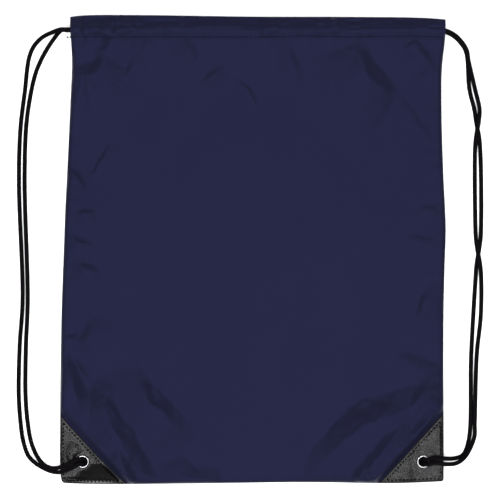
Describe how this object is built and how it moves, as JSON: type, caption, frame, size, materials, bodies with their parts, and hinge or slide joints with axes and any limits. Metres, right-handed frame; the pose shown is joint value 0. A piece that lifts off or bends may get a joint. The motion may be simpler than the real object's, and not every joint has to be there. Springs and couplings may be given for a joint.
{
  "type": "drawstring backpack",
  "caption": "Flat cloth drawstring backpack with cord channels at its mouth, corded shoulder straps, leather corner patches and metal eyelets.",
  "frame": {"origin": "centre of the bag's footprint on the surface that it lies on, without its free cords", "axes": "+Y along the bag's height towards the mouth, +X across its width, +Z out of its front face"},
  "size_m": [0.4193, 0.42, 0.0171],
  "materials": {
    "navy_cloth": "plain-woven polyester with a slight sheen",
    "corner_leather": "grained synthetic leather, satin",
    "drawcord": "braided polyester cord, matte",
    "eyelet_metal": "nickel plated",
    "thread": "polyester sewing thread"
  },
  "bodies": {
    "root": {"front_panel": "navy_cloth", "back_panel": "navy_cloth", "front_channel": "navy_cloth", "back_channel": "navy_cloth", "front_channel_thread": "thread", "back_channel_thread": "thread", "bottom_seam": "navy_cloth", "left_cord_run": "drawcord", "right_cord_run": "drawcord"},
    "left_side": {"left_side_seam": "navy_cloth", "left_front_patch": "corner_leather", "left_back_patch": "corner_leather", "left_front_patch_thread": "thread", "left_back_patch_thread": "thread", "left_eyelet": "eyelet_metal", "left_eyelet_washer": "eyelet_metal", "left_cord_knot": "drawcord"},
    "left_strap": {"left_front_strand": "drawcord", "left_back_strand": "drawcord"},
    "right_side": {"right_side_seam": "navy_cloth", "right_front_patch": "corner_leather", "right_back_patch": "corner_leather", "right_front_patch_thread": "thread", "right_back_patch_thread": "thread", "right_eyelet": "eyelet_metal", "right_eyelet_washer": "eyelet_metal", "right_cord_knot": "drawcord"},
    "right_strap": {"right_front_strand": "drawcord", "right_back_strand": "drawcord"}
  },
  "joints": [
    {"name": "left_mouth_gather", "type": "hinge", "parent": "root", "child": "left_side", "pos_m": [-0.1525, -0.19, 0], "axis": [0, 0, -1], "range_deg": [0, 12], "deforming": ["front_panel", "back_panel", "front_channel", "back_channel", "front_channel_thread", "back_channel_thread", "bottom_seam", "left_cord_run", "right_cord_run"]},
    {"name": "left_strap_swing", "type": "hinge", "parent": "left_side", "child": "left_strap", "pos_m": [-0.1525, -0.19, 0.0154], "axis": [-0.0452, 0.999, 0], "range_deg": [0, 178]},
    {"name": "right_mouth_gather", "type": "hinge", "parent": "root", "child": "right_side", "pos_m": [0.1525, -0.19, 0], "axis": [0, 0, 1], "range_deg": [0, 12], "deforming": ["front_panel", "back_panel", "front_channel", "back_channel", "front_channel_thread", "back_channel_thread", "bottom_seam", "left_cord_run", "right_cord_run"]},
    {"name": "right_strap_swing", "type": "hinge", "parent": "right_side", "child": "right_strap", "pos_m": [0.1525, -0.19, 0.0154], "axis": [-0.0453, -0.999, 0], "range_deg": [0, 178]}
  ]
}
